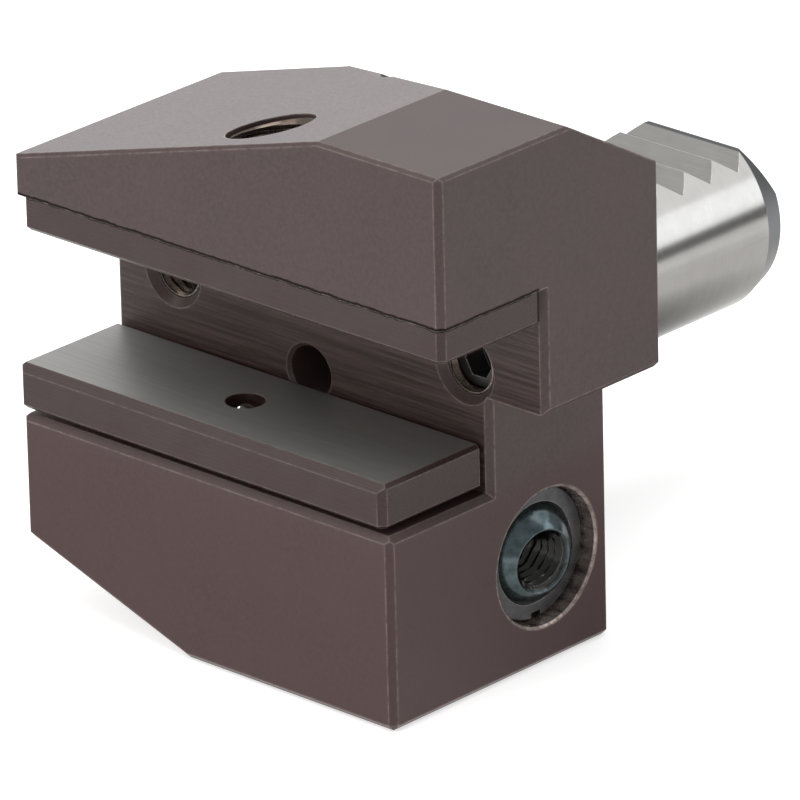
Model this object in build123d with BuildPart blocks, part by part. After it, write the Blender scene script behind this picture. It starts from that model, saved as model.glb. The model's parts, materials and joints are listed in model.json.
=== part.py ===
"""Static lathe turning-tool holder with a serrated round shank, 12 mm square tools.

Frame: millimetres, +Z up, +X along the tool slot, +Y along the shank towards the
turret.  The origin is where the shank axis meets the flange face of the block.
"""
import os
from math import cos, radians, sin, sqrt

from build123d import *

os.makedirs("parts", exist_ok=True)

# ---------------------------------------------------------------- block
TOOL_H = 12.0            # tool seat above the shank axis: square tools of this size
X_LEFT = -27.0           # left end of the whole block
XR_UP, XR_LOW = 28.25, 21.1       # right ends of the upper and lower block
DEPTH = 30.5             # flange face to front face
Z_TOP = 30.4             # flat top
Z_BOT = -27.0            # flat underside
X_FOLD = 13.0            # the top slopes down to the left from here
Z_TOP_L = 19.3           # top at the left end
X_BEND = -5.9            # the underside slopes up to the left from here
Z_BOT_L = -19.9          # underside at the left end
Z_OVER = 2.5             # underside of the overhang at the right
Y_BEVEL, Z_BEVEL = -12.8, 23.0    # back bevel: starts here on top, ends here at the back
EDGE = 0.65              # broken edges
TOP_EDGE = 0.35          # lighter round the top
BACK_EDGE = (2.0, 1.2)   # back edge of the sloping top: depth, drop

# ---------------------------------------------------------------- slot and plates
Y_WALL = -16.5           # back wall of the slot
Z_ROOF = 15.4            # roof of the recess for the seat plate
Z_JAW = -7.2             # top of the lower jaw
Y_PLATE = -17.1          # back edge of both plates
SEAT_X = (-25.9, 28.25)  # seat plate ends
BAR_X = (-27.3, 20.3)    # clamp bar ends
BAR_TOP, BAR_T = -2.15, 4.5
PLATE_CH = 0.4           # broken edges of the plates
BAR_CH = 0.8             # wider on the bar's front edges
Y_MID = -23.3            # line of the clamp screws

# ---------------------------------------------------------------- shank
SHANK_R, SHANK_L = 10.0, 40.0
SHANK_END = ((10.0, 36.2), (9.15, 38.9), (7.9, 40.0))    # turned end: radius, distance
SPIGOT_R, SPIGOT_L = 8.0, 10.0
CREST_Z = 8.0            # serration crests above the axis
TOOTH_D = 1.4            # serration depth
PITCH = 4.05
CREST_LAST = 36.5        # the last crest
LAST_DROP = 2.0          # past it the top falls away this steeply
CREST_FLAT = 0.12
N_TEETH = 4

# ---------------------------------------------------------------- screws and holes
SEAT_SCREW = (0.85, -23.8)        # seat plate screw, from the top
HEAD_R, HEAD_H, SEAT_SCREW_R = 4.25, 5.0, 2.5
HEAD_SEAT_Z = 18.4
SEAT_DOWEL_X = (-20.0, 22.0)
CLAMP_X = (-16.5, 9.0)            # clamp screws, from below
CLAMP_R, CLAMP_CLEAR = 4.0, 0.06
CLAMP_TOP, CLAMP_END = -7.0, -20.5
POINT_R, POINT_L = 2.4, 1.65
PAD_R, PAD_T = 2.5, 0.8
GUIDE_X = -4.0                    # guide pin that pulls the bar down
WALL_HOLES = (-19.8, 18.1)        # threads in the slot wall
WALL_Z, WALL_R = 4.9, 2.9
KNOCK = (-2.1, -0.9)              # knock-out bore behind the shank
KNOCK_R = 2.6
WALL_HOLE_L = 9.0
WALL_PLUG_L, WALL_PLUG_Y = 5.0, (-7.7, -9.5)   # length, and where the backs sit
DOWEL_R, DOWEL_L = 1.0, 6.0
BAR_SCREW_R, BAR_SCREW_STEM, BAR_SCREW_L = 1.9, 1.0, 5.0
GUIDE_R, GUIDE_BORE = 2.0, 3.8
GUIDE_HEAD, GUIDE_HEAD_T, HEAD_TOP = 3.4, 1.5, -20.5
SHOULDER_Z = -12.0
SPRING_R, SPRING_WIRE, SPRING_TURNS = 2.85, 0.35, 5
GUIDE_PLUG_T = 2.4
PIN_Y, PIN_R, PIN_Z, PIN_L = -5.0, 2.0, 1.0, 20.0
GROOVE_R, GROOVE_T, FLANGE_WIRE = (10.4, 12.8), 1.4, 0.775
END_PLUG_R, END_PLUG_L = 2.5, 5.0

# ---------------------------------------------------------------- coolant ball
BALL_Y, BALL_Z = -8.85, -16.15
BALL_R, BALL_X = 6.0, 16.25
CAVITY_R, CAVITY_X = 6.85, 9.6
RING_FACE, RING_BACK = 19.5, 16.3
BALL_BORE = 2.5
BALL_FLAT = 5.0          # ball centre to its flat face
TILT = 8.0               # the ball is modelled turned this far
AIM_Y, AIM_Z = 0.96, 0.27         # the ball points this way off the side face normal
BALL_BACK = 4.4          # ball centre to its rear flat
SOCKET_R = BALL_R + 0.04 # running fit of the ball in its seats
SEAT_FRONT, SEAT_BORE = 13.6, 3.4
SEAL_X, SEAL_R, SEAL_WIRE = 14.2, 6.25, 0.55
INLET_X = 6.5
COOL_R = 2.0
INLET_SEAL_R, INLET_SEAL_T, INLET_WIRE = 3.6, 0.9, 0.55
PLUG_R, PLUG_L = 2.5, 4.5

CENTRE_MIN = (Align.CENTER, Align.CENTER, Align.MIN)


def drill(origin, direction, radius, depth):
    """Plain bore from a point along a direction, in the part being built."""
    with Locations(Plane(origin=origin, z_dir=direction).location):
        Cylinder(radius, depth, align=CENTRE_MIN, mode=Mode.SUBTRACT)


def countersink(origin, direction, radius, top_radius):
    """Broken edge at the mouth of a bore."""
    with Locations(Plane(origin=origin, z_dir=direction).location):
        Cone(top_radius, radius, top_radius - radius, align=CENTRE_MIN, mode=Mode.SUBTRACT)


def upright(x, y):
    """Drawing plane through an upright axis: local x is radius, local y is height."""
    return Plane(origin=(x, y, 0), x_dir=(1, 0, 0), z_dir=(0, -1, 0))


def across(y, z):
    """Drawing plane through an axis along X: local x runs along it, local y is radius."""
    return Plane(origin=(0, y, z), x_dir=(1, 0, 0), z_dir=(0, -1, 0))


def on_socket(x):
    """Radius of the ball's socket at a place along its axis."""
    return sqrt(SOCKET_R**2 - (x - BALL_X) ** 2)


# ================================================================ block
with BuildPart() as holder_body:
    with BuildSketch(Plane.XZ):
        with BuildLine():
            Polyline(
                (X_LEFT, Z_BOT_L), (X_BEND, Z_BOT), (XR_LOW, Z_BOT), (XR_LOW, Z_OVER),
                (XR_UP, Z_OVER), (XR_UP, Z_TOP), (X_FOLD, Z_TOP), (X_LEFT, Z_TOP_L),
                close=True,
            )
        make_face()
    extrude(amount=DEPTH)
    # broken edges all round the outside, the top first; the folds stay sharp
    for size, low, high in ((TOP_EDGE, Z_TOP_L - 0.01, Z_TOP + 1),
                            (EDGE, Z_BOT - 1, Z_TOP_L - 1)):
        outline = []
        for e in holder_body.edges():
            c = e.center()
            on_end = min(abs(c.X - x) for x in (X_LEFT, XR_LOW, XR_UP)) < 0.01
            step = abs(c.Z - Z_OVER) < 0.01 and abs(c.X - XR_LOW) < 0.01
            if (abs(c.Y + DEPTH / 2) > 0.01 or (on_end and not step)) \
                    and low < min(v.Z for v in e.vertices()) < high:
                outline.append(e)
        chamfer(outline, size)
    # back bevel and the slot, both cut right across
    with BuildSketch(Plane.YZ.offset(-40)):
        with BuildLine():
            rise = (Z_TOP - Z_BEVEL) / Y_BEVEL
            Polyline((Y_BEVEL - 4, Z_TOP - 4 * rise), (2, Z_BEVEL + 2 * rise),
                     (2, 40), (Y_BEVEL - 4, 40), close=True)
        make_face()
    extrude(amount=80, mode=Mode.SUBTRACT)
    # smaller back bevel along the sloping top, left of the main one
    run = (X_FOLD - X_LEFT, 0, Z_TOP - Z_TOP_L)
    with BuildSketch(Plane(origin=(X_LEFT - run[0] / 20, 0, Z_TOP_L - run[2] / 20),
                           x_dir=(0, 1, 0), z_dir=run)):
        with BuildLine():
            Polyline((-BACK_EDGE[0], 0), (2, -BACK_EDGE[1] * (1 + 2 / BACK_EDGE[0])), (2, 2),
                     (-BACK_EDGE[0], 2), close=True)
        make_face()
    extrude(amount=20, mode=Mode.SUBTRACT)
    with BuildSketch(Plane.YZ.offset(-40)):
        with Locations((-DEPTH - 1, Z_JAW)):
            Rectangle(DEPTH + 1 + Y_WALL, Z_ROOF - Z_JAW, align=(Align.MIN, Align.MIN))
    extrude(amount=80, mode=Mode.SUBTRACT)
    lips = [e for e in holder_body.edges() if e.length > 5 and (
        (abs(e.center().Z - Z_JAW) < 0.01 and -DEPTH + 1 < e.center().Y < Y_WALL - 1)
        or (abs(e.center().Y - Y_WALL) < 0.01 and e.center().X > XR_LOW - 1
            and abs(e.tangent_at(0.5).Z) > 0.9))]
    chamfer(lips, EDGE)
    with BuildSketch(Plane.YZ.offset(-40)):
        with Locations((-DEPTH, Z_JAW)):
            Rectangle(EDGE * 1.414, EDGE * 1.414, rotation=45)
    extrude(amount=80, mode=Mode.SUBTRACT)
    # seat plate screw and dowels
    drill((*SEAT_SCREW, HEAD_SEAT_Z), (0, 0, 1), HEAD_R + 0.05, 20)
    drill((*SEAT_SCREW, Z_ROOF - 1), (0, 0, 1), SEAT_SCREW_R + 0.25, 6)
    for x in SEAT_DOWEL_X:
        drill((x, SEAT_SCREW[1], Z_ROOF - 1), (0, 0, 1), DOWEL_R, 1 + DOWEL_L - 2.9)
    # lower jaw: two clamp threads and the stepped guide bore
    for x in CLAMP_X:
        drill((x, Y_MID, Z_BOT - 1), (0, 0, 1), CLAMP_R, 30)
    drill((GUIDE_X, Y_MID, SHOULDER_Z - 1), (0, 0, 1), GUIDE_R + 0.06, 10)
    drill((GUIDE_X, Y_MID, Z_BOT - 1), (0, 0, 1), GUIDE_BORE, SHOULDER_Z - Z_BOT + 1)
    # slot wall: two threads, the knock-out bore, then the spigot bore from the back
    for x in WALL_HOLES:
        drill((x, Y_WALL - 1, WALL_Z), (0, 1, 0), WALL_R, 1 + WALL_HOLE_L)
        countersink((x, Y_WALL, WALL_Z), (0, 1, 0), WALL_R, WALL_R + EDGE + 0.15)
    drill((KNOCK[0], Y_WALL - 1, KNOCK[1]), (0, 1, 0), KNOCK_R, 10)
    countersink((KNOCK[0], Y_WALL, KNOCK[1]), (0, 1, 0), KNOCK_R, KNOCK_R + 0.35)
    drill((0, 0, 0), (0, -1, 0), SPIGOT_R, SPIGOT_L)
    # locking pin down through the bevel into the spigot
    drill((0, PIN_Y, PIN_Z), (0, 0, 1), PIN_R, 40)
    # flange seal groove
    with BuildSketch(Plane.XZ):
        Circle(GROOVE_R[1])
        Circle(GROOVE_R[0], mode=Mode.SUBTRACT)
    extrude(amount=GROOVE_T, mode=Mode.SUBTRACT)
    # coolant: ball cavity in the right side, a cross bore, two inlets in the flange face
    drill((XR_LOW + 1, BALL_Y, BALL_Z), (-1, 0, 0), CAVITY_R, XR_LOW + 1 - CAVITY_X)
    countersink((XR_LOW, BALL_Y, BALL_Z), (-1, 0, 0), CAVITY_R, CAVITY_R + 0.2)
    drill((CAVITY_X, BALL_Y, BALL_Z), (-1, 0, 0), COOL_R, CAVITY_X + INLET_X + COOL_R)
    for x in (INLET_X, -INLET_X):
        drill((x, 1, BALL_Z), (0, -1, 0), COOL_R, 1 - BALL_Y)
    drill((INLET_X, 0, BALL_Z), (0, -1, 0), INLET_SEAL_R, INLET_SEAL_T)
    drill((-INLET_X, 0, BALL_Z), (0, -1, 0), PLUG_R, PLUG_L + 0.6)
holder_body.part.label = "holder_body"
export_step(holder_body.part, "parts/holder_body.step")

# ================================================================ shank
with BuildPart() as shank:
    # turned profile: spigot, ground shank, turned end
    with BuildSketch(Plane.XY):
        with BuildLine():
            Polyline(
                (0, -SPIGOT_L), (SPIGOT_R - 0.5, -SPIGOT_L), (SPIGOT_R, -SPIGOT_L + 0.5),
                (SPIGOT_R, 0), (SHANK_R, 0), *SHANK_END, (0, SHANK_L), close=True,
            )
        make_face()
    revolve(axis=Axis.Y)
    # serrations: equal-flanked grooves across the top of the shank
    half = PITCH / 2
    first = CREST_LAST - N_TEETH * PITCH
    teeth = [(first - 2.3, SHANK_R + 0.4), (first + CREST_FLAT / 2, CREST_Z)]
    for k in range(N_TEETH):
        y = first + k * PITCH
        teeth += [(y + half - 0.1, CREST_Z - TOOTH_D), (y + half + 0.1, CREST_Z - TOOTH_D),
                  (y + PITCH - CREST_FLAT / 2, CREST_Z), (y + PITCH + CREST_FLAT / 2, CREST_Z)]
    past = SHANK_L + 1 - CREST_LAST
    teeth += [(SHANK_L + 1, CREST_Z - LAST_DROP * past), (SHANK_L + 1, SHANK_R + 0.4)]
    with BuildSketch(Plane.YZ.offset(-15)):
        with BuildLine():
            Polyline(*teeth, close=True)
        make_face()
    extrude(amount=30, mode=Mode.SUBTRACT)
    # locking pin hole in the spigot, and a thread for the end plug
    drill((0, PIN_Y, PIN_Z), (0, 0, 1), PIN_R, 20)
    drill((0, SHANK_L, 0), (0, -1, 0), END_PLUG_R, END_PLUG_L + 1.2)
    countersink((0, SHANK_L, 0), (0, -1, 0), END_PLUG_R, END_PLUG_R + 0.8)
shank.part.label = "shank"
export_step(shank.part, "parts/shank.step")

with BuildPart() as locking_pin:
    with BuildSketch(upright(0, PIN_Y)):
        with BuildLine():
            Polyline((0, PIN_Z + 0.2), (PIN_R - 0.3, PIN_Z + 0.2), (PIN_R, PIN_Z + 0.5),
                     (PIN_R, PIN_Z + PIN_L - 0.3), (PIN_R - 0.3, PIN_Z + PIN_L),
                     (0, PIN_Z + PIN_L), close=True)
        make_face()
    revolve(axis=Axis((0, PIN_Y, 0), (0, 0, 1)))
locking_pin.part.label = "locking_pin"
export_step(locking_pin.part, "parts/locking_pin.step")

with BuildPart() as shank_end_plug:
    with BuildSketch(Plane.XZ.offset(-(SHANK_L - 0.6))):
        Circle(END_PLUG_R)
    extrude(amount=END_PLUG_L)
    chamfer(shank_end_plug.edges().filter_by(GeomType.CIRCLE), 0.3)
    with BuildSketch(Plane.XZ.offset(-(SHANK_L - 0.6))):
        RegularPolygon(1.44, 6)
    extrude(amount=2.2, mode=Mode.SUBTRACT)
shank_end_plug.part.label = "shank_end_plug"
export_step(shank_end_plug.part, "parts/shank_end_plug.step")

# ================================================================ seat plate
with BuildPart() as seat_plate:
    with Locations((SEAT_X[0], -DEPTH, TOOL_H)):
        Box(SEAT_X[1] - SEAT_X[0], DEPTH + Y_PLATE, Z_ROOF - TOOL_H,
            align=(Align.MIN, Align.MIN, Align.MIN))
    uprights = seat_plate.edges().filter_by(Axis.Z)
    chamfer(uprights.sort_by(Axis.Y)[:2], EDGE)
    chamfer(seat_plate.faces().sort_by(Axis.Z)[0].edges(), PLATE_CH)
    drill((*SEAT_SCREW, TOOL_H + 0.4), (0, 0, 1), SEAT_SCREW_R, 5)
    for x in SEAT_DOWEL_X:
        drill((x, SEAT_SCREW[1], TOOL_H + 0.5), (0, 0, 1), DOWEL_R, 5)
seat_plate.part.label = "seat_plate"
export_step(seat_plate.part, "parts/seat_plate.step")

with BuildPart() as seat_plate_screw:
    with BuildSketch(upright(*SEAT_SCREW)):
        with BuildLine():
            Polyline((0, TOOL_H + 0.6), (SEAT_SCREW_R - 0.4, TOOL_H + 0.6),
                     (SEAT_SCREW_R, TOOL_H + 1.0), (SEAT_SCREW_R, HEAD_SEAT_Z),
                     (HEAD_R, HEAD_SEAT_Z), (HEAD_R, HEAD_SEAT_Z + HEAD_H - 0.4),
                     (HEAD_R - 0.4, HEAD_SEAT_Z + HEAD_H), (0, HEAD_SEAT_Z + HEAD_H),
                     close=True)
        make_face()
    revolve(axis=Axis((*SEAT_SCREW, 0), (0, 0, 1)))
    with BuildSketch(Plane.XY.offset(HEAD_SEAT_Z + HEAD_H)):
        with Locations(SEAT_SCREW):
            RegularPolygon(2.31, 6)
    extrude(amount=-2.5, mode=Mode.SUBTRACT)
seat_plate_screw.part.label = "seat_plate_screw"
export_step(seat_plate_screw.part, "parts/seat_plate_screw.step")

with BuildPart() as seat_plate_dowels:
    for x in SEAT_DOWEL_X:
        with Locations((x, SEAT_SCREW[1], TOOL_H + 0.6)):
            Cylinder(DOWEL_R, DOWEL_L - 0.1, align=CENTRE_MIN)
    chamfer(seat_plate_dowels.edges().filter_by(GeomType.CIRCLE), 0.2)
seat_plate_dowels.part.label = "seat_plate_dowels"
export_step(seat_plate_dowels.part, "parts/seat_plate_dowels.step")

# ================================================================ clamp bar
BAR_BOTTOM = BAR_TOP - BAR_T
with BuildPart() as clamp_bar:
    with Locations((BAR_X[0], -DEPTH, BAR_BOTTOM)):
        Box(BAR_X[1] - BAR_X[0], DEPTH + Y_PLATE, BAR_T,
            align=(Align.MIN, Align.MIN, Align.MIN))
    front_top = clamp_bar.edges().filter_by(Axis.X).group_by(Axis.Z)[-1].sort_by(Axis.Y)[:1]
    chamfer(front_top, BAR_CH)
    front_ups = clamp_bar.edges().filter_by(Axis.Z).sort_by(Axis.Y)[:2]
    chamfer(front_ups, BAR_CH - 0.1)
    chamfer(clamp_bar.edges().group_by(Axis.Z)[0], PLATE_CH)
    chamfer(clamp_bar.edges().filter_by(Axis.Y).group_by(Axis.Z)[-1], PLATE_CH)
    for x in CLAMP_X:
        drill((x, Y_MID, BAR_BOTTOM - 1), (0, 0, 1), PAD_R, 1 + POINT_L + PAD_T - 0.1)
    drill((GUIDE_X, Y_MID, BAR_TOP + 1), (0, 0, -1), BAR_SCREW_R + 0.05, 1 + 2.4)
    drill((GUIDE_X, Y_MID, BAR_TOP + 1), (0, 0, -1), BAR_SCREW_STEM + 0.1, 8)
clamp_bar.part.label = "clamp_bar"
export_step(clamp_bar.part, "parts/clamp_bar.step")

with BuildPart() as thrust_pads:
    pad_z = BAR_BOTTOM + POINT_L - 0.1
    for x in CLAMP_X:
        with Locations((x, Y_MID, pad_z)):
            Cylinder(PAD_R, PAD_T, align=CENTRE_MIN)
    chamfer(thrust_pads.edges().filter_by(GeomType.CIRCLE), 0.15)
thrust_pads.part.label = "thrust_pads"
export_step(thrust_pads.part, "parts/thrust_pads.step")

with BuildPart() as bar_screw:
    floor = BAR_TOP - 2.4
    with BuildSketch(upright(GUIDE_X, Y_MID)):
        with BuildLine():
            Polyline((BAR_SCREW_R - 0.7, floor + 1.95), (BAR_SCREW_R, floor + 1.3),
                     (BAR_SCREW_R, floor), (BAR_SCREW_STEM, floor),
                     (BAR_SCREW_STEM, BAR_BOTTOM - BAR_SCREW_L), (0, BAR_BOTTOM - BAR_SCREW_L),
                     (0, floor + 2.1))
            ThreePointArc((0, floor + 2.1), ((BAR_SCREW_R - 0.7) / 2, floor + 2.06),
                          (BAR_SCREW_R - 0.7, floor + 1.95))
        make_face()
    revolve(axis=Axis((GUIDE_X, Y_MID, 0), (0, 0, 1)))
    with BuildSketch(Plane.XY.offset(floor + 3)):
        with Locations((GUIDE_X, Y_MID)):
            RegularPolygon(0.87, 6)
    extrude(amount=-2.0, mode=Mode.SUBTRACT)
bar_screw.part.label = "bar_screw"
export_step(bar_screw.part, "parts/bar_screw.step")

with BuildPart() as guide_pin:
    with BuildSketch(upright(GUIDE_X, Y_MID)):
        with BuildLine():
            Polyline((0, BAR_BOTTOM), (GUIDE_R - 0.2, BAR_BOTTOM), (GUIDE_R, BAR_BOTTOM - 0.2),
                     (GUIDE_R, HEAD_TOP), (GUIDE_HEAD, HEAD_TOP),
                     (GUIDE_HEAD, HEAD_TOP - GUIDE_HEAD_T), (0, HEAD_TOP - GUIDE_HEAD_T),
                     close=True)
        make_face()
    revolve(axis=Axis((GUIDE_X, Y_MID, 0), (0, 0, 1)))
    drill((GUIDE_X, Y_MID, BAR_BOTTOM), (0, 0, -1), BAR_SCREW_STEM, BAR_SCREW_L + 0.5)
guide_pin.part.label = "guide_pin"
export_step(guide_pin.part, "parts/guide_pin.step")

# compression spring round the guide pin, between the jaw shoulder and the pin head
with BuildPart() as return_spring:
    low, high = HEAD_TOP + SPRING_WIRE, SHOULDER_Z - SPRING_WIRE
    with BuildLine() as coil_path:
        Helix(pitch=(high - low) / SPRING_TURNS, height=high - low, radius=SPRING_R,
              center=(GUIDE_X, Y_MID, low))
    start = coil_path.line @ 0
    with BuildSketch(Plane(origin=start, z_dir=coil_path.line % 0)):
        Circle(SPRING_WIRE)
    sweep(path=coil_path.line)
return_spring.part.label = "return_spring"
export_step(return_spring.part, "parts/return_spring.step")

with BuildPart() as guide_plug:
    with Locations((GUIDE_X, Y_MID, Z_BOT + 1.0)):
        Cylinder(GUIDE_BORE, GUIDE_PLUG_T, align=CENTRE_MIN)
    chamfer(guide_plug.edges().filter_by(GeomType.CIRCLE), 0.3)
    with BuildSketch(Plane.XY.offset(Z_BOT + 1.0)):
        with Locations((GUIDE_X, Y_MID)):
            RegularPolygon(2.31, 6)
    extrude(amount=1.8, mode=Mode.SUBTRACT)
guide_plug.part.label = "guide_plug"
export_step(guide_plug.part, "parts/guide_plug.step")

# two clamp screws: set screws with a short dog point
for name, x in zip(("clamp_screw_left", "clamp_screw_right"), CLAMP_X):
    with BuildPart() as clamp_screw:
        r = CLAMP_R - CLAMP_CLEAR
        with BuildSketch(upright(x, Y_MID)):
            with BuildLine():
                Polyline((0, BAR_BOTTOM + POINT_L - 0.35), (POINT_R - 0.2, BAR_BOTTOM + POINT_L - 0.35),
                         (POINT_R, BAR_BOTTOM + POINT_L - 0.55), (POINT_R, CLAMP_TOP),
                         (r - 0.6, CLAMP_TOP), (r, CLAMP_TOP - 0.6), (r, CLAMP_END + 0.5),
                         (r - 0.5, CLAMP_END), (0, CLAMP_END), close=True)
            make_face()
        revolve(axis=Axis((x, Y_MID, 0), (0, 0, 1)))
        with BuildSketch(Plane.XY.offset(CLAMP_END)):
            with Locations((x, Y_MID)):
                RegularPolygon(2.31, 6)
        extrude(amount=4.0, mode=Mode.SUBTRACT)
    clamp_screw.part.label = name
    export_step(clamp_screw.part, f"parts/{name}.step")

# ================================================================ slot wall plugs
with BuildPart() as wall_plugs:
    for x, back in zip(WALL_HOLES, WALL_PLUG_Y):
        with BuildSketch(Plane.XZ.offset(-back)):
            with Locations((x, WALL_Z)):
                Circle(WALL_R)
        extrude(amount=WALL_PLUG_L)
    chamfer(wall_plugs.edges().filter_by(GeomType.CIRCLE), 0.45)
    for x, back in zip(WALL_HOLES, WALL_PLUG_Y):
        with BuildSketch(Plane.XZ.offset(-(back - WALL_PLUG_L))):
            with Locations((x, WALL_Z)):
                RegularPolygon(1.73, 6)
        extrude(amount=-2.4, mode=Mode.SUBTRACT)
wall_plugs.part.label = "wall_plugs"
export_step(wall_plugs.part, "parts/wall_plugs.step")

# ================================================================ coolant ball
with BuildPart() as ball_seat:
    dish = BALL_X - sqrt(SOCKET_R**2 - SEAT_BORE**2)
    with BuildSketch(across(BALL_Y, BALL_Z)):
        with BuildLine():
            Polyline((dish, SEAT_BORE), (CAVITY_X, SEAT_BORE), (CAVITY_X, CAVITY_R),
                     (SEAT_FRONT, CAVITY_R), (SEAT_FRONT, on_socket(SEAT_FRONT)))
            ThreePointArc((SEAT_FRONT, on_socket(SEAT_FRONT)),
                          ((SEAT_FRONT + dish) / 2, on_socket((SEAT_FRONT + dish) / 2)),
                          (dish, SEAT_BORE))
        make_face()
    revolve(axis=Axis((0, BALL_Y, BALL_Z), (1, 0, 0)))
ball_seat.part.label = "ball_seat"
export_step(ball_seat.part, "parts/ball_seat.step")

with BuildPart() as ball_seal:
    with Locations(Plane(origin=(SEAL_X, BALL_Y, BALL_Z), z_dir=(1, 0, 0)).location):
        Torus(SEAL_R, SEAL_WIRE)
ball_seal.part.label = "ball_seal"
export_step(ball_seal.part, "parts/ball_seal.step")

with BuildPart() as ball_ring:
    middle = (RING_FACE + RING_BACK) / 2
    with BuildSketch(across(BALL_Y, BALL_Z)):
        with BuildLine():
            Polyline((RING_BACK, on_socket(RING_BACK)), (RING_BACK, CAVITY_R),
                     (RING_FACE - 0.3, CAVITY_R), (RING_FACE, CAVITY_R - 0.3),
                     (RING_FACE, on_socket(RING_FACE)))
            ThreePointArc((RING_FACE, on_socket(RING_FACE)), (middle, on_socket(middle)),
                          (RING_BACK, on_socket(RING_BACK)))
        make_face()
    revolve(axis=Axis((0, BALL_Y, BALL_Z), (1, 0, 0)))
    # two spanner notches
    for sign in (1, -1):
        with Locations((RING_FACE, BALL_Y, BALL_Z + sign * CAVITY_R)):
            Box(2.0, 1.3, 1.7, mode=Mode.SUBTRACT)
ball_ring.part.label = "ball_ring"
export_step(ball_ring.part, "parts/ball_ring.step")

with BuildPart() as nozzle_ball:
    aim = (cos(radians(TILT)), -sin(radians(TILT)) * AIM_Y, -sin(radians(TILT)) * AIM_Z)
    front, rear = sqrt(BALL_R**2 - BALL_FLAT**2), sqrt(BALL_R**2 - BALL_BACK**2)
    with BuildSketch(Plane(origin=(BALL_X, BALL_Y, BALL_Z), x_dir=aim, z_dir=(0, AIM_Z, -AIM_Y))):
        with BuildLine():
            ThreePointArc((BALL_FLAT, front), (0, BALL_R), (-BALL_BACK, rear))
            Polyline((-BALL_BACK, rear), (-BALL_BACK, BALL_BORE), (BALL_FLAT - 0.5, BALL_BORE),
                     (BALL_FLAT, BALL_BORE + 0.5), (BALL_FLAT, front))
        make_face()
    revolve(axis=Axis((BALL_X, BALL_Y, BALL_Z), aim))
nozzle_ball.part.label = "nozzle_ball"
export_step(nozzle_ball.part, "parts/nozzle_ball.step")

# ================================================================ flange face seals
with BuildPart() as flange_seal:
    with Locations(Plane(origin=(0, FLANGE_WIRE - GROOVE_T, 0), z_dir=(0, 1, 0)).location):
        Torus(sum(GROOVE_R) / 2, FLANGE_WIRE)
flange_seal.part.label = "flange_seal"
export_step(flange_seal.part, "parts/flange_seal.step")

with BuildPart() as inlet_seal:
    with Locations(Plane(origin=(INLET_X, -INLET_SEAL_T + INLET_WIRE, BALL_Z),
                         z_dir=(0, 1, 0)).location):
        Torus(INLET_SEAL_R - INLET_WIRE, INLET_WIRE)
inlet_seal.part.label = "inlet_seal"
export_step(inlet_seal.part, "parts/inlet_seal.step")

with BuildPart() as coolant_plug:
    with BuildSketch(Plane.XZ.offset(0.6)):
        with Locations((-INLET_X, BALL_Z)):
            Circle(PLUG_R)
    extrude(amount=PLUG_L)
    chamfer(coolant_plug.edges().filter_by(GeomType.CIRCLE), 0.3)
    with BuildSketch(Plane.XZ.offset(0.6)):
        with Locations((-INLET_X, BALL_Z)):
            RegularPolygon(1.44, 6)
    extrude(amount=2.0, mode=Mode.SUBTRACT)
coolant_plug.part.label = "coolant_plug"
export_step(coolant_plug.part, "parts/coolant_plug.step")
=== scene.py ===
"""Looks of a static turning-tool holder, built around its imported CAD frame.

Metres in the CAD frame: +Z up, +X along the tool slot, +Y along the shank.
"""

import json
from math import acos, cos, pi, radians, sin

import bmesh
import bpy
from mathutils import Matrix, Vector


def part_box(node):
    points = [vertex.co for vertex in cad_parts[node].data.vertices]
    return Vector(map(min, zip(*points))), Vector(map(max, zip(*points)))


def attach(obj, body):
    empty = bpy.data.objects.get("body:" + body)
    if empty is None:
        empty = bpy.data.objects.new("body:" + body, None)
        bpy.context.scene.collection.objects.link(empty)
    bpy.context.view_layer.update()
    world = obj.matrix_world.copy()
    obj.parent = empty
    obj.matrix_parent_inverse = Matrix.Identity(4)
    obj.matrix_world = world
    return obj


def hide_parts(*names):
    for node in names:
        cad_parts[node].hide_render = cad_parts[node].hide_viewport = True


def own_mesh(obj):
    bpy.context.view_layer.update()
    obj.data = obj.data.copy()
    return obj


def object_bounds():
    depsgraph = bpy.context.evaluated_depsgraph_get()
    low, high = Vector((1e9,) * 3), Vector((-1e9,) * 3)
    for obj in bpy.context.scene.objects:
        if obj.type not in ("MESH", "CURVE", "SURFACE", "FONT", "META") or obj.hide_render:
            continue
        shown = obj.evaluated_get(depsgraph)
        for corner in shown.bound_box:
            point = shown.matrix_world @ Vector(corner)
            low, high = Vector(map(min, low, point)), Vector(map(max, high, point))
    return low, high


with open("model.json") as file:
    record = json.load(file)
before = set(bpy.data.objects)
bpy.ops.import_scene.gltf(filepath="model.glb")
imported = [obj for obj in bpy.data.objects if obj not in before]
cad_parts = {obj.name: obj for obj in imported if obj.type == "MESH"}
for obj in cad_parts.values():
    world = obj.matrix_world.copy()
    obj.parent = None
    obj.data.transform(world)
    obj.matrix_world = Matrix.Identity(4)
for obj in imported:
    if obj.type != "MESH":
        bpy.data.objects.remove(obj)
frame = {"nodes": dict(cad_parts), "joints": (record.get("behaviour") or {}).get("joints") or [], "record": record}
CAD_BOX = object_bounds()
MM = 0.001

# ---------------------------------------------------------------- view and studio
AZIMUTH, ELEVATION, ROLL = 43.319, 22.534, -1.365     # degrees
DISTANCE, LENS = 1.0, 468.5                           # metres, millimetres
AIM = Vector((-3.0, -8.3, -9.7)) * MM                 # aim point off the object's middle
ROOM_LIGHT = 0.6
FLOOR_SIZE = 30.0
FLOOR_GAP = 0.02 * MM                # keeps the floor off the underside
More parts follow.
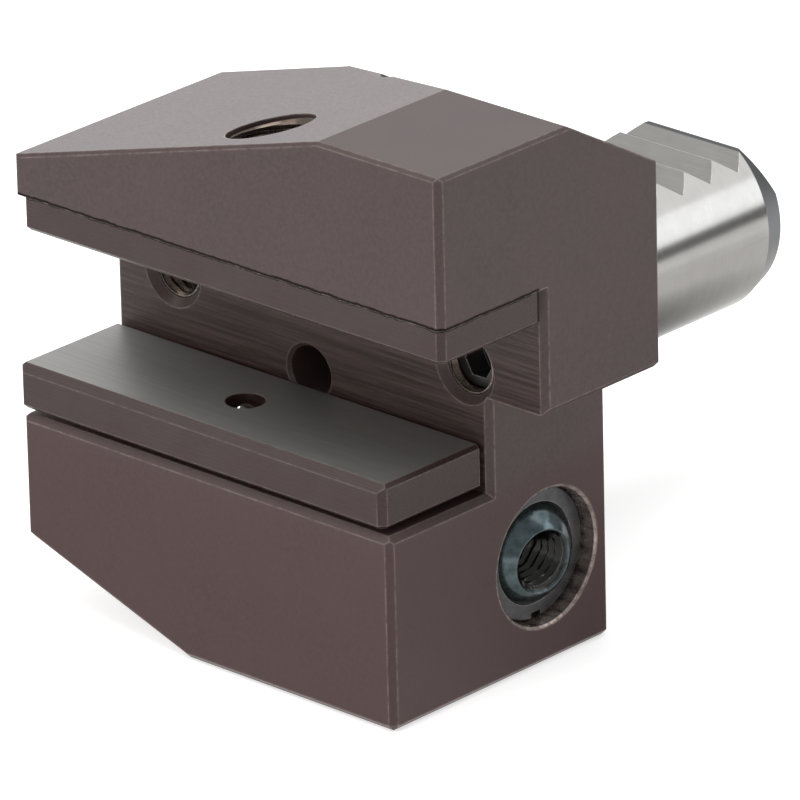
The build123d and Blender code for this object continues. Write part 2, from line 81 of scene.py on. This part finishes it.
# soft round lights: where from (azimuth, elevation), distance, diameter, brightness, colour
LIGHTS = {
    "overhead": ((0, 80), 1.25, 1.0, 4.2, (1.0, 0.99, 0.98)),
    "key": ((-35, 38), 1.4, 1.3, 1.5, (1.0, 0.98, 0.96)),
    "spark": ((62, 62), 1.3, 0.16, 16.0, (1.0, 1.0, 1.0)),
    "sheen": ((-137, 12), 1.4, 1.4, 0.66, (1.0, 1.0, 1.0)),
    "window": ((134, 17), 1.3, 0.56, 2.2, (0.95, 0.975, 1.0)),
    "glint": ((-100, 26), 1.3, 0.3, 7.0, (1.0, 1.0, 1.0)),
    "left": ((-79, 50), 1.3, 0.9, 0.26, (1.0, 0.99, 0.97)),
    "fill": ((150, 46), 1.3, 1.0, 1.2, (0.98, 0.99, 1.0)),
}
GLOSS_ONLY = ("window", "left", "spark", "glint")    # seen in polished metal, but light nothing
# dark card that keeps light off the right side: azimuth, elevation, distance, size
FLAG = (85, 42, 1.1, (1.5, 0.7))
# dark strip low at the right back, seen only in polished metal: as the flag
STRIP = (133, -0.6, 0.3, (0.34, 0.045))
# grey card under the shank, seen only in polished metal, with painted floor shade that is dim near its middle:
# size, height above the underside, and its glow at a near and a far distance in millimetres from its middle
FLOOR_SHADE_SIZE, FLOOR_SHADE_HEIGHT = (0.16, 0.16), 0.5 * MM
FLOOR_SHADE_GLOW = ((14.0, 0.08), (44.0, 1.1))


def direction(azimuth, elevation):
    """Unit vector towards a place in the studio; azimuth 0 is in front, 90 at the right."""
    a, e = radians(azimuth), radians(elevation)
    return Vector((sin(a) * cos(e), -cos(a) * cos(e), sin(e)))


def middle():
    return (CAD_BOX[0] + CAD_BOX[1]) / 2


def add_camera():
    back = direction(AZIMUTH, ELEVATION)
    right = Vector((cos(radians(AZIMUTH)), sin(radians(AZIMUTH)), 0))
    turn = (Matrix((right, back.cross(right), back)).transposed()
            @ Matrix.Rotation(radians(ROLL), 3, "Z"))
    data = bpy.data.cameras.new("camera")
    data.lens = LENS
    data.clip_start, data.clip_end = 0.01, 100
    camera = bpy.data.objects.new("camera", data)
    camera.matrix_world = Matrix.Translation(middle() + AIM + back * DISTANCE) @ turn.to_4x4()
    bpy.context.collection.objects.link(camera)
    bpy.context.scene.camera = camera


def facing_middle(thing, azimuth, elevation, distance):
    """Puts a light or card out in a direction, looking at the object."""
    out = direction(azimuth, elevation)
    thing.matrix_world = (Matrix.Translation(middle() + out * distance)
                          @ out.to_track_quat("Z", "Y").to_matrix().to_4x4())
    bpy.context.collection.objects.link(thing)


def add_lights():
    scene = bpy.context.scene
    scene.view_settings.view_transform = "Standard"
    scene.world = bpy.data.worlds.new("studio")
    scene.world.use_nodes = True
    sky = scene.world.node_tree.nodes["Background"]
    sky.inputs["Color"].default_value = (1, 1, 1, 1)
    sky.inputs["Strength"].default_value = ROOM_LIGHT
    for name, (where, distance, size, brightness, colour) in LIGHTS.items():
        data = bpy.data.lights.new(name, "AREA")
        data.shape, data.size, data.color = "DISK", size, colour
        data.energy = brightness * pi * pi * size**2 / 4
        light = bpy.data.objects.new(name, data)
        light.visible_diffuse = name not in GLOSS_ONLY
        facing_middle(light, *where, distance)


def add_floor_and_cards():
    floor = plate("floor", FLOOR_SIZE, FLOOR_SIZE)
    floor.location = (0, 0, CAD_BOX[0].z - FLOOR_GAP)
    bpy.context.collection.objects.link(floor)
    finish(floor, FLOOR)
    flag = plate("flag", *FLAG[3])
    facing_middle(flag, *FLAG[:3])
    flag.visible_camera = flag.visible_glossy = flag.visible_shadow = False
    finish(flag, CARD)
    strip = plate("strip_card", *STRIP[3])
    facing_middle(strip, *STRIP[:3])
    strip.visible_camera = strip.visible_diffuse = strip.visible_shadow = False
    finish(strip, DIM_CARD)
    # card with painted floor shade, shown only in the shank's reflection
    under = plate("floor_shade_card", *FLOOR_SHADE_SIZE)
    shank_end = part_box("shank")[1]
    under.location = (shank_end.x, shank_end.y / 2, CAD_BOX[0].z + FLOOR_SHADE_HEIGHT)
    bpy.context.collection.objects.link(under)
    under.visible_camera = under.visible_diffuse = under.visible_shadow = False
    finish(under, floor_shade_card())


def plate(name, width, height):
    """Flat rectangle in its own XY plane."""
    mesh = bpy.data.meshes.new(name)
    corners = [(x * width / 2, y * height / 2, 0) for x, y in ((-1, -1), (1, -1), (1, 1), (-1, 1))]
    mesh.from_pydata(corners, [], [(0, 1, 2, 3)])
    return bpy.data.objects.new(name, mesh)


# ---------------------------------------------------------------- finishes
# waviness, and reach down the plate's back, of the painted shade along the joint of block and seat plate
JOINT_SHADE_WAVES, JOINT_SHADE_BACK = 0.08, 0.30       # in millimetres
WEAR_COLOUR = (0.34, 0.32, 0.30)         # rubbed edges of the small parts


class Finish:
    """Node tree of one finish; its textures run in millimetres of the CAD frame."""

    def __init__(self, name, **constants):
        self.material = bpy.data.materials.new(name)
        self.material.use_nodes = True
        self.tree = self.material.node_tree
        self.shader = self.tree.nodes["Principled BSDF"]
        for socket, value in constants.items():
            self.shader.inputs[socket.replace("_", " ")].default_value = value
        place = self.node("ShaderNodeTexCoord").outputs["Object"]
        self.mm = self.vector("MULTIPLY", place, (1 / MM,) * 3)

    def node(self, kind, inputs=None, **settings):
        made = self.tree.nodes.new(kind)
        for key, value in settings.items():
            setattr(made, key, value)
        for key, value in (inputs or {}).items():
            self.feed(made.inputs[key], value)
        return made

    def feed(self, socket, value):
        if isinstance(value, bpy.types.NodeSocket):
            self.tree.links.new(value, socket)
        else:
            socket.default_value = value

    def maths(self, operation, a, b=0.0):
        return self.node("ShaderNodeMath", {0: a, 1: b}, operation=operation).outputs[0]

    def vector(self, operation, a, b, output=0):
        return self.node("ShaderNodeVectorMath", {0: a, 1: b}, operation=operation).outputs[output]

    def length(self, a):
        return self.node("ShaderNodeVectorMath", {0: a}, operation="LENGTH").outputs["Value"]

    def noise(self, scale, stretch=(1, 1, 1), detail=3.0, roughness=0.6):
        """Cloudy value about 0.5; scale is in cells per millimetre."""
        where = self.vector("MULTIPLY", self.mm, stretch)
        return self.node("ShaderNodeTexNoise", {"Vector": where, "Scale": scale, "Detail": detail,
                                                "Roughness": roughness}).outputs["Fac"]

    def spread(self, value, low, high, to_low=0.0, to_high=1.0):
        """Stretches the band low..high of a value to to_low..to_high, and holds it there."""
        return self.node("ShaderNodeMapRange", {"Value": value, "From Min": low, "From Max": high,
                                                "To Min": to_low, "To Max": to_high}).outputs[0]

    def mix(self, share, a, b):
        """Colour a where share is 0, b where it is 1."""
        a, b = ((*c, 1) if isinstance(c, tuple) else c for c in (a, b))
        return self.node("ShaderNodeMix", {0: share, 6: a, 7: b}, data_type="RGBA").outputs[2]

    def edges(self, radius, least=0.99, most=0.86):
        """1 along edges within about a radius, 0 on open faces."""
        rounded = self.node("ShaderNodeBevel", {"Radius": radius * MM}, samples=6).outputs[0]
        flat = self.node("ShaderNodeNewGeometry").outputs["Normal"]
        return self.spread(self.vector("DOT_PRODUCT", rounded, flat, "Value"), least, most)

    def part_of(self, socket):
        """One component, 0 to 2, of the place in millimetres."""
        return self.node("ShaderNodeSeparateXYZ", {0: self.mm}).outputs[socket]

    def facing(self, axis):
        """How squarely the face looks along an axis."""
        flat = self.node("ShaderNodeNewGeometry").outputs["True Normal"]
        return self.vector("DOT_PRODUCT", flat, axis, "Value")

    def past(self, value, limit, blur=0.04):
        """1 where a value is past a limit, 0 before it; short of it where blur is negative."""
        return self.spread(value, limit - blur, limit + blur)

    def seam(self, above, below):
        """Wavy band of painted shade along the joint of block and seat plate, by its reach up and down.

        On the plate, the one with a reach down, it also runs down the back.
        """
        low, high = (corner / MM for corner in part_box("seat_plate"))
        waves = self.spread(self.noise(0.8, detail=4), 0.3, 0.7, -JOINT_SHADE_WAVES, JOINT_SHADE_WAVES)
        y, z = self.part_of(1), self.maths("ADD", self.part_of(2), waves)
        top = self.maths("MULTIPLY", self.past(z, high.z - below), self.past(z, high.z + above, -0.04))
        top = self.maths("MULTIPLY", top, self.past(y, high.y, -0.05))
        back = self.maths("MULTIPLY", self.past(y, high.y - JOINT_SHADE_BACK), self.past(z, low.z, 0.05))
        return self.maths("MAXIMUM", top, back if below else 0.0)

    def relief(self, soften, *layers):
        """Softens edges within a radius, then adds bumps: (height value, depth in mm) each."""
        normal = self.node("ShaderNodeBevel", {"Radius": soften * MM}, samples=6).outputs[0]
        for height, depth in layers:
            normal = self.node("ShaderNodeBump", {"Height": height, "Distance": depth * MM,
                                                  "Normal": normal}).outputs[0]
        self.feed(self.shader.inputs["Normal"], normal)

    def set(self, **values):
        """Feeds the shader's sockets, named with _ for a space."""
        for socket, value in values.items():
            self.feed(self.shader.inputs[socket.replace("_", " ")], value)


def body_steel():
    """Brown phosphate over milled steel, with paler worn edges and a milled slot wall."""
    f = Finish("body_steel", IOR=1.33)
    clouds = f.noise(0.11, detail=4)
    grain = f.noise(2.6, detail=5, roughness=0.7)
    brown = f.mix(f.spread(clouds, 0.35, 0.68), (0.060, 0.037, 0.036), (0.050, 0.031, 0.031))
    brown = f.mix(f.spread(grain, 0.38, 0.72), brown, (0.070, 0.049, 0.047))
    # the lower jaw is redder, and so is the slot wall, which has long milling streaks
    brown = f.mix(f.spread(f.part_of(2), -6.0, -9.0, 0.0, 0.5), brown, (0.060, 0.026, 0.026))
    wall_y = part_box("seat_plate")[1].y / MM + 0.3
    wall = f.maths("MULTIPLY", f.spread(f.part_of(1), wall_y, wall_y + 0.1),
                   f.spread(f.facing((0, -1, 0)), 0.95, 0.99))
    streaks = f.noise(1.0, stretch=(0.07, 1, 3.2), detail=5, roughness=0.75)
    streaked = f.mix(f.spread(streaks, 0.42, 0.62), (0.030, 0.017, 0.016), (0.075, 0.048, 0.044))
    brown = f.mix(wall, brown, streaked)
    # the ball's bore was cut after the coating: bare, rubbed metal
    low, high = (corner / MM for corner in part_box("ball_ring"))
    axis_yz = (0, (low.y + high.y) / 2, (low.z + high.z) / 2)
    radius = (high.y - low.y) / 2
    off_axis = f.vector("DISTANCE", f.vector("MULTIPLY", f.mm, (0, 1, 1)), axis_yz, "Value")
    bore = f.maths("MULTIPLY", f.spread(off_axis, radius + 0.4, radius + 0.1),
                   f.spread(f.part_of(0), low.x - 8, low.x - 7))
    rubbed = f.mix(f.spread(f.noise(1.4, stretch=(0.3, 1, 1), detail=4), 0.35, 0.65),
                   (0.11, 0.080, 0.074), (0.42, 0.35, 0.32))
    brown = f.mix(bore, brown, rubbed)
    wear = f.maths("MULTIPLY", f.edges(0.35),
                   f.spread(f.noise(1.1, detail=4), 0.35, 0.6, 0.25, 1.0))
    worn = f.mix(wear, brown, (0.27, 0.225, 0.205))
    # painted shade of the gap along the joint with the seat plate: darker colour and less shine
    seam = f.seam(0.28, 0.0)
    f.set(Base_Color=f.mix(seam, worn, (0.010, 0.005, 0.005)),
          Metallic=f.maths("MULTIPLY", bore, 0.7),
          Roughness=f.maths("SUBTRACT", f.spread(grain, 0.3, 0.75, 0.28, 0.40),
                            f.maths("MULTIPLY", bore, 0.08)),
          Specular_IOR_Level=f.spread(seam, 0, 1, 0.5, 0.12))
    lines = f.noise(1.0, stretch=(0.3, 6.0, 6.0), detail=2)
    f.relief(0.14, (grain, 0.010), (lines, 0.003), (f.maths("MULTIPLY", wall, streaks), 0.05))
    return f.material


def plate_steel():
    """Hardened and darkened plates; their working faces are ground bright along the slot."""
    f = Finish("plate_steel", IOR=1.36)
    clouds = f.noise(0.25, detail=4)
    lines = f.noise(1.0, stretch=(0.12, 9.0, 9.0), detail=4, roughness=0.7)
    grey = f.mix(f.spread(clouds, 0.35, 0.65), (0.034, 0.0165, 0.0150), (0.038, 0.0210, 0.0195))
    grey = f.mix(f.spread(lines, 0.4, 0.7, 0.0, 0.25), grey, (0.045, 0.027, 0.025))
    ground = f.spread(f.maths("ABSOLUTE", f.facing((0, 0, 1))), 0.9, 0.98)
    bright = f.mix(f.spread(lines, 0.35, 0.7), (0.30, 0.295, 0.285), (0.38, 0.375, 0.365))
    wear = f.maths("MULTIPLY", f.edges(0.25),
                   f.spread(f.noise(1.6, detail=3), 0.3, 0.6, 0.2, 0.9))
    worn = f.mix(wear, f.mix(ground, grey, bright), (0.26, 0.235, 0.215))
    # painted shade of the gap along the joint with the block, also down the plate's back: darker colour and less
    # shine
    seam = f.seam(0.0, 0.12)
    f.set(Base_Color=f.mix(seam, worn, (0.010, 0.006, 0.006)),
          Metallic=f.maths("MULTIPLY", ground, 0.85),
          Roughness=f.maths("ADD", f.spread(lines, 0.3, 0.8, 0.26, 0.30),
                            f.maths("MULTIPLY", ground, 0.22)),
          Specular_IOR_Level=f.spread(seam, 0, 1, 0.5, 0.12))
    f.relief(0.12, (lines, 0.0008), (f.noise(5.0, detail=3), 0.002))
    return f.material


def ground_steel():
    """Bright shank, ground round its axis; its end is only turned, so it is darker."""
    f = Finish("ground_steel", Metallic=1.0)
    rings = f.noise(1.0, stretch=(0.12, 11.0, 0.12), detail=4, roughness=0.65)
    clouds = f.noise(0.35, detail=4)
    grey = f.mix(f.spread(rings, 0.3, 0.75), (0.315, 0.308, 0.298), (0.355, 0.349, 0.338))
    grey = f.mix(f.spread(clouds, 0.4, 0.7, 0.0, 0.5), grey, (0.385, 0.378, 0.362))
    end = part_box("shank")[1].y / MM
    turned_end = f.spread(f.part_of(1), end - 3.85, end - 3.75)
    f.set(Base_Color=f.mix(turned_end, grey, (0.105, 0.109, 0.113)),
          Roughness=f.maths("ADD", f.spread(rings, 0.3, 0.75, 0.16, 0.22),
                            f.maths("MULTIPLY", turned_end, 0.12)))
    f.relief(0.10, (rings, 0.0012))
    return f.material


def dark_steel(name, dark, light, metal, rough, bore=None):
    """Blackened or tempered steel of a small part, rubbed bright on its edges.

    bore is a hole with painted shade inside it: a point on its axis, its axis and its radius.
    """
    f = Finish(name, Metallic=metal, IOR=1.9)
    clouds = f.noise(0.7, detail=5, roughness=0.65)
    grain = f.noise(5.0, detail=4, roughness=0.7)
    worn = f.maths("MULTIPLY", f.edges(0.18), f.spread(grain, 0.35, 0.6, 0.1, 0.8))
    colour = f.mix(f.spread(clouds, 0.35, 0.68), dark, light)
    if bore:
        centre, axis, radius = bore
        off_axis = f.length(f.vector("CROSS_PRODUCT", f.vector("SUBTRACT", f.mm, centre), axis))
        # painted shade inside the bore, with less edge wear there
        colour = f.mix(f.past(off_axis, radius, -0.1), colour, (0.022, 0.022, 0.021))
        worn = f.maths("MULTIPLY", worn, 0.5)
    f.set(Base_Color=f.mix(worn, colour, WEAR_COLOUR),
          Roughness=f.spread(grain, 0.3, 0.75, rough - 0.05, rough + 0.08))
    f.relief(0.08, (grain, 0.003))
    return f.material


def rubber():
    """Black rubber of the seals."""
    f = Finish("seal_rubber", IOR=1.5)
    grain = f.noise(3.0, detail=4)
    colour = f.mix(f.spread(grain, 0.35, 0.7), (0.012, 0.012, 0.013), (0.024, 0.024, 0.026))
    f.set(Base_Color=colour, Roughness=f.spread(grain, 0.3, 0.7, 0.45, 0.6))
    f.relief(0.05, (grain, 0.004))
    return f.material


def matt(name, low, high, rough, glow=0.0):
    """Faintly cloudy matt surface of the studio, lit from within where it glows."""
    f = Finish(name, Roughness=rough, Emission_Color=(1, 1, 1, 1), Emission_Strength=glow)
    f.set(Base_Color=f.mix(f.noise(0.02, detail=2), low, high))
    return f.material


def floor_shade_card():
    """Painted floor shade for reflections: glows less towards its middle, as a floor does close under an object.
    """
    f = Finish("floor_shade_card", Base_Color=(0, 0, 0, 1), Roughness=1.0,
               Emission_Color=(1.0, 0.985, 0.965, 1))
    (near, dim), (away, bright) = FLOOR_SHADE_GLOW
    f.set(Emission_Strength=f.spread(f.length(f.mm), near, away, dim, bright))
    return f.material


def finish(thing, material):
    thing.data.materials.clear()
    thing.data.materials.append(material)


def named(entries, name):
    return next(entry for entry in entries if entry["name"] == name)


BALL_PIVOT = Vector(named(frame["joints"], "ball_tilt")["pos_m"]) / MM
BALL_AIM = Vector(named(frame["record"]["mounts"], "nozzle_thread")["axis"])
FLOOR = matt("floor", (0.60, 0.60, 0.60), (0.63, 0.63, 0.63), 0.9, glow=0.62)
CARD = matt("card", (0.02, 0.02, 0.02), (0.03, 0.03, 0.03), 1.0)
DIM_CARD = matt("dim_card", (0.02, 0.02, 0.02), (0.03, 0.03, 0.03), 1.0, glow=0.1)
# one finish for each material slot of the record: dark and light colour, metal, roughness
SLOTS = {
    "body_steel": body_steel(),
    "plate_steel": plate_steel(),
    "ground_steel": ground_steel(),
    "screw_steel": dark_steel("screw_steel", (0.030, 0.028, 0.028), (0.055, 0.050, 0.048), 0.5, 0.33),
    "bright_screw": dark_steel("bright_screw", (0.42, 0.42, 0.41), (0.74, 0.73, 0.72), 1.0, 0.14),
    "spring_steel": dark_steel("spring_steel", (0.22, 0.21, 0.20), (0.36, 0.35, 0.33), 1.0, 0.3),
    "ring_steel": dark_steel("ring_steel", (0.045, 0.047, 0.052), (0.085, 0.085, 0.09), 0.6, 0.3),
    # the ball's finish has painted shade inside its nozzle bore
    "ball_steel": dark_steel("ball_steel", (0.034, 0.052, 0.058), (0.095, 0.125, 0.135), 0.9, 0.15,
                             (BALL_PIVOT, BALL_AIM, 3.05)),
    "seal_rubber": rubber(),
}
# added pieces of a slot take its finish too, but cut threads in the body are bare
ADDED = SLOTS | {
    "body_steel": dark_steel("tapped_steel", (0.060, 0.044, 0.034), (0.150, 0.115, 0.090),
                             0.85, 0.28),
}


def dress_cad_nodes():
    """Gives each CAD node the finish of the slot it was packed with."""
    for node in frame["nodes"].values():
        slot = node.data.materials[0].name.split(".")[0]
        node.data.materials[0] = SLOTS[slot]


# ---------------------------------------------------------------- turned detail
UP = Vector((0, 0, 1))
STEPS = 96               # points round a turned piece
PER_TURN = 8             # rings in each pitch of a thread
CREASE = radians(32)     # edges sharper than this stay sharp
M8_PITCH, M6_PITCH = 1.25, 1.0           # in millimetres, as all the sizes below
SOCKET = 4.0             # hexagon sockets of the M8 screws, across flats
SKIN = 0.15              # wall behind the thread of a hole, inside the block


def thread(radius, depth, pitch, along, angle):
    """Radius of a thread's flank: radius on its crest or bore, less up to its depth."""
    turn = (along / pitch - angle / (2 * pi)) % 1
    return radius - depth * min(1.0, max(0.0, 2.4 * abs(turn - 0.5) - 0.1))


def hexagon(across, angle):
    """Radius of a hexagon, across its flats."""
    return across / 2 / cos((angle + pi / 6) % (pi / 3) - pi / 6)


def rings_between(start, end, pitch):
    """Places for the rings of a thread, from start to end."""
    count = max(2, round(abs(end - start) / pitch * PER_TURN))
    return [start + (end - start) * k / count for k in range(count + 1)]


def socket(along, angle):
    """Radius of a hexagon socket, as a profile takes it."""
    return hexagon(SOCKET, angle)


def turned(name, base, axis, profile, body, slot, replaced=(), ends=True, close=False,
           shift=None):
    """Piece turned round an axis through base, in millimetres.

    The profile is (along, radius) pairs; a radius may be a function of along and angle.
    ends closes the two ends on the axis, close joins the last ring to the first, and
    shift moves a point along the axis, for a rim cut on a slope.
    """
    axis = axis.normalized()
    turn = axis.to_track_quat("Z", "X").to_matrix()
    mesh = bmesh.new()
    rings = []
    for along, radius in profile:
        ring = []
        for k in range(STEPS):
            angle = 2 * pi * k / STEPS
            r = radius(along, angle) if callable(radius) else radius
            point = turn @ Vector((r * cos(angle), r * sin(angle), 0))
            lift = shift(along, point) if shift else 0
            ring.append(mesh.verts.new((base + point + axis * (along + lift)) * MM))
        rings.append(ring)
    pairs = list(zip(rings, rings[1:])) + ([(rings[-1], rings[0])] if close else [])
    for low, high in pairs:
        for k in range(STEPS):
            after = (k + 1) % STEPS
            mesh.faces.new((low[k], low[after], high[after], high[k]))
    if ends:
        for ring, along in ((rings[0], profile[0][0]), (rings[-1], profile[-1][0])):
            hub = mesh.verts.new((base + axis * along) * MM)
            for k in range(STEPS):
                mesh.faces.new((ring[k], ring[(k + 1) % STEPS], hub))
    return add_piece(name, mesh, body, slot, replaced)


def add_piece(name, mesh, body, slot, replaced=()):
    """Makes the piece of a finished mesh: smooth faces, sharp creases, finish, body."""
    bmesh.ops.recalc_face_normals(mesh, faces=mesh.faces)
    for face in mesh.faces:
        face.smooth = True
    for edge in mesh.edges:
        edge.smooth = edge.calc_face_angle(0) < CREASE
    data = bpy.data.meshes.new(name)
    mesh.to_mesh(data)
    mesh.free()
    piece = bpy.data.objects.new(name, data)
    bpy.context.collection.objects.link(piece)
    finish(piece, ADDED[slot])
    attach(piece, body)
    if replaced:
        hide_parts(*replaced)
    return piece


def place(node):
    """Lowest and highest corner of a node's box and the middle of its underside."""
    low, high = (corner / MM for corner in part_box(node))
    return low, high, Vector(((low.x + high.x) / 2, (low.y + high.y) / 2, low.z))


def add_clamp_screws():
    """M8 set screws with a hexagon socket below and a dog point above."""
    for side in ("left", "right"):
        low, high, base = place(f"clamp_screw_{side}")
        length, radius = high.z - low.z, (high.x - low.x) / 2
        dog, dog_radius = length - 1.65, 2.4

        def flank(along, angle):
            return thread(radius, 0.70, M8_PITCH, along, angle)

        profile = ([(4.0, 0.4), (4.0, socket), (0.25, socket), (0.0, 2.45), (0.0, radius - 0.75)]
                   + [(z, flank) for z in rings_between(0.5, dog - 0.6, M8_PITCH)]
                   + [(dog, radius - 0.8), (dog, dog_radius), (length - 0.25, dog_radius),
                      (length, dog_radius - 0.25)])
        turned(f"threaded_clamp_screw_{side}", base, UP, profile, f"screw_{side}", "screw_steel",
               [f"clamp_screw_{side}"])


def add_spring():
    """Return spring with ground ends, fixed to the holder in one shape; the real one closes up as the bar, and its
    pin, rise.
    """
    low, high, base = place("return_spring")
    wire, sides, turns = 0.35, 16, 5
    radius, bottom, top = (high.x - low.x) / 2 - wire, low.z, high.z
    steps = turns * STEPS // 2
    mesh = bmesh.new()
    rings = []
    for k in range(steps + 1):
        angle = 4 * pi * k / STEPS
        height = bottom + 0.2 + (top - bottom - 0.4) * k / steps
        ring = []
        for j in range(sides):
            turn = 2 * pi * j / sides
            r = radius + wire * cos(turn)
            z = min(top, max(bottom, height + wire * sin(turn)))
            point = Vector((base.x + r * cos(angle), base.y + r * sin(angle), z))
            ring.append(mesh.verts.new(point * MM))
        rings.append(ring)
    for a, b in zip(rings, rings[1:]):
        for j in range(sides):
            after = (j + 1) % sides
            mesh.faces.new((a[j], a[after], b[after], b[j]))
    mesh.faces.new(rings[0])
    mesh.faces.new(rings[-1])
    piece = add_piece("ground_end_spring", mesh, "holder", "spring_steel", ["return_spring"])
    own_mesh(piece)


def add_bar_screw():
    """Screw in the bar, with a smooth dome on its head."""
    low, high, base = place("bar_screw")
    radius, stem, ball = (high.x - low.x) / 2, 1.0, 1.3
    top = high.z - low.z
    neck = top - 2.1
    angles = [radians(70 - 68 * k / 20) for k in range(21)]
    dome = [(top - ball + ball * cos(a), ball * sin(a)) for a in angles]
    profile = [(0.0, stem - 0.15), (0.15, stem), (neck, stem), (neck, radius)] + dome
    turned("domed_bar_screw", base, UP, profile, "bar", "bright_screw", ["bar_screw"])


def add_seat_screw():
    """Seat plate screw: its head is threaded, in the threaded hole that opens on the slope."""
    low, high, base = place("seat_plate_screw")
    top, radius, shaft = high.z - low.z, (high.x - low.x) / 2, 2.5
    head = top - 5.0

    def screw_flank(along, angle):
        return thread(radius, 0.50, M8_PITCH, along, angle)

    profile = ([(0.0, shaft - 0.4), (0.4, shaft), (head, shaft), (head, radius - 0.6)]
               + [(z, screw_flank) for z in rings_between(head + 0.3, top - 0.4, M8_PITCH)]
               + [(top, radius - 0.6), (top, 2.6), (top - 0.3, socket), (top - 2.5, socket),
                  (top - 2.5, 0.4)])
    turned("threaded_seat_screw", base, UP, profile, "holder", "screw_steel",
           ["seat_plate_screw"])
    # the mouth of the hole follows the sloping top
    bore = radius + 0.05
    rim = [v.co / MM for v in frame["nodes"]["holder_body"].data.vertices
           if abs((v.co.xy / MM - base.xy).length - bore) < 0.02 and v.co.z / MM > high.z + 1]
    left, right = min(rim, key=lambda v: v.x), max(rim, key=lambda v: v.x)
    rise = (right.z - left.z) / (right.x - left.x)
    mouth = left.z + rise * (base.x - left.x) - base.z
    start, end = head + 0.3, mouth - 0.45

    def hole_flank(along, angle):
        return thread(bore - 0.02, 0.50, M8_PITCH, along, angle)

    def slope(along, point):
        return rise * point.x * max(0.0, (along - top) / (end - top))

    turned("seat_hole_thread", base, UP,
           [(z, hole_flank) for z in rings_between(start, end, M8_PITCH)]
           + [(end, bore + SKIN), (start, bore + SKIN)],
           "holder", "body_steel", ends=False, close=True, shift=slope)


def add_wall_threads():
    """Threads of the two holes in the slot wall, in front of their plugs."""
    low, high, _ = place("wall_plugs")
    radius = (high.z - low.z) / 2
    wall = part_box("seat_plate")[1].y / MM + 0.6
    deeper = 1.8             # the left plug sits this much deeper than the right one
    for name, x, plug in (("left", low.x + radius, low.y + deeper),
                          ("right", high.x - radius, low.y)):
        base = Vector((x, wall, (low.z + high.z) / 2))
        depth = plug - wall - 0.1

        def flank(along, angle):
            return thread(radius, 0.42, M6_PITCH, along, angle)

        turned(f"wall_thread_{name}", base, Vector((0, 1, 0)),
               [(y, flank) for y in rings_between(0.65, depth, M6_PITCH)]
               + [(depth, radius + SKIN), (0.85, radius + SKIN)],
               "holder", "body_steel", ends=False, close=True)


def add_ball():
    """Coolant ball with its M6 nozzle thread."""
    radius, front, back, bore = 6.0, 5.0, -4.4, 2.5
    first, last = acos(back / radius), acos(front / radius)
    angles = [first * (1 - k / 40) + last * k / 40 for k in range(41)]

    def flank(along, angle):
        return thread(bore + 0.5, 0.5, M6_PITCH, along, angle)

    profile = ([(radius * cos(a), radius * sin(a)) for a in angles]
               + [(front, 3.2), (front - 0.35, 2.9)]
               + [(x, flank) for x in rings_between(front - 0.45, back, M6_PITCH)])
    turned("threaded_nozzle_ball", BALL_PIVOT, BALL_AIM, profile, "ball", "ball_steel",
           ["nozzle_ball"], ends=False, close=True)


add_camera()
add_lights()
add_floor_and_cards()
dress_cad_nodes()
add_clamp_screws()
add_spring()
add_bar_screw()
add_seat_screw()
add_wall_threads()
add_ball()
